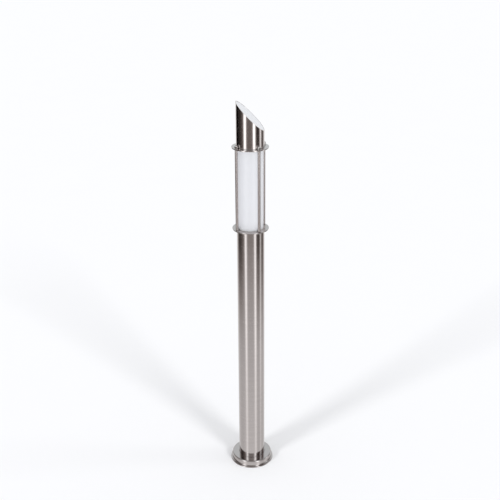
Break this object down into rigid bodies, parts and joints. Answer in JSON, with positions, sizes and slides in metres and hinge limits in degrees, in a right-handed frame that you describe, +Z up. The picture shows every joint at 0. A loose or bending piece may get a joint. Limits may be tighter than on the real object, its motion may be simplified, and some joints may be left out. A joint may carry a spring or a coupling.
{
  "type": "bollard light",
  "caption": "Round brushed-steel bollard light with an opal tube in a rod cage, a slanted top closed by an opal panel, and a sliding foot cover.",
  "frame": {"origin": "on the ground, on the axis of the pole", "axes": "+Z up along the pole; the slanted top is lowest towards +X"},
  "size_m": [0.127, 0.127, 1.1],
  "materials": {
    "brushed_steel": "stainless steel brushed to a fine satin, warm grey reflections",
    "fastener_steel": "bright turned stainless",
    "plain_steel": "plain stainless sheet, matt",
    "opal": "opal white acrylic tube, soft gloss",
    "opal_panel": "opal white acrylic sheet, soft gloss",
    "bulb_opal": "frosted white",
    "bulb_housing": "white moulded plastic",
    "terminal_plastic": "off-white moulded nylon",
    "holder_black": "black moulded phenolic",
    "lead_jacket": "black flexible jacket",
    "rubber": "black rubber",
    "silicone": "translucent white silicone",
    "nickel": "nickel-plated",
    "brass": "plain brass"
  },
  "bodies": {
    "post": {"base_plate": "plain_steel", "foot_spigot": "plain_steel", "pole": "brushed_steel", "grub_screw_1": "plain_steel", "grub_screw_2": "plain_steel", "grub_screw_3": "plain_steel", "cable_grommet": "rubber", "terminal_bracket": "plain_steel", "bracket_screw": "plain_steel", "terminal_block": "terminal_plastic", "block_screw": "brass", "earth_screw": "brass", "inner_lead": "lead_jacket", "lower_collar": "brushed_steel", "rod_screw_1": "fastener_steel", "rod_screw_2": "fastener_steel", "rod_screw_3": "fastener_steel", "rod_screw_4": "fastener_steel", "cage_rod_1": "brushed_steel", "cage_rod_2": "brushed_steel", "cage_rod_3": "brushed_steel", "cage_rod_4": "brushed_steel", "holder_bridge": "plain_steel", "bridge_screw_1": "plain_steel", "bridge_screw_2": "plain_steel", "lampholder": "holder_black", "diffuser_gasket_lower": "silicone"},
    "cover": {"base_cover": "brushed_steel"},
    "head": {"upper_collar": "brushed_steel", "head_tube": "brushed_steel", "top_panel": "opal_panel", "panel_gasket": "silicone", "panel_seat": "plain_steel", "cap_nut_1": "fastener_steel", "cap_nut_2": "fastener_steel", "cap_nut_3": "fastener_steel", "cap_nut_4": "fastener_steel", "nut_washer_1": "fastener_steel", "nut_washer_2": "fastener_steel", "nut_washer_3": "fastener_steel", "nut_washer_4": "fastener_steel", "diffuser": "opal", "diffuser_gasket_upper": "silicone"},
    "bulb_tip": {"bulb_contact": "brass"},
    "bulb": {"bulb_cap": "nickel", "bulb_housing": "bulb_housing", "bulb_globe": "bulb_opal"}
  },
  "joints": [
    {"name": "base_cover_lift", "type": "slide", "parent": "post", "child": "cover", "axis": [0, 0, 1], "range_m": [0, 0.7]},
    {"name": "head_lift", "type": "slide", "parent": "post", "child": "head", "axis": [0, 0, 1], "range_m": [0, 0.24]},
    {"name": "bulb_rise", "type": "slide", "parent": "post", "child": "bulb_tip", "axis": [0, 0, 1], "range_m": [0, 0.0182]},
    {"name": "bulb_turn", "type": "hinge", "parent": "bulb_tip", "child": "bulb", "pos_m": [0, 0, 0.77], "axis": [0, 0, 1], "range_deg": [0, 1800]}
  ],
  "couplings": [
    {"joint": "bulb_rise", "follows": "bulb_turn", "m_per_rad": 0.00057614}
  ]
}
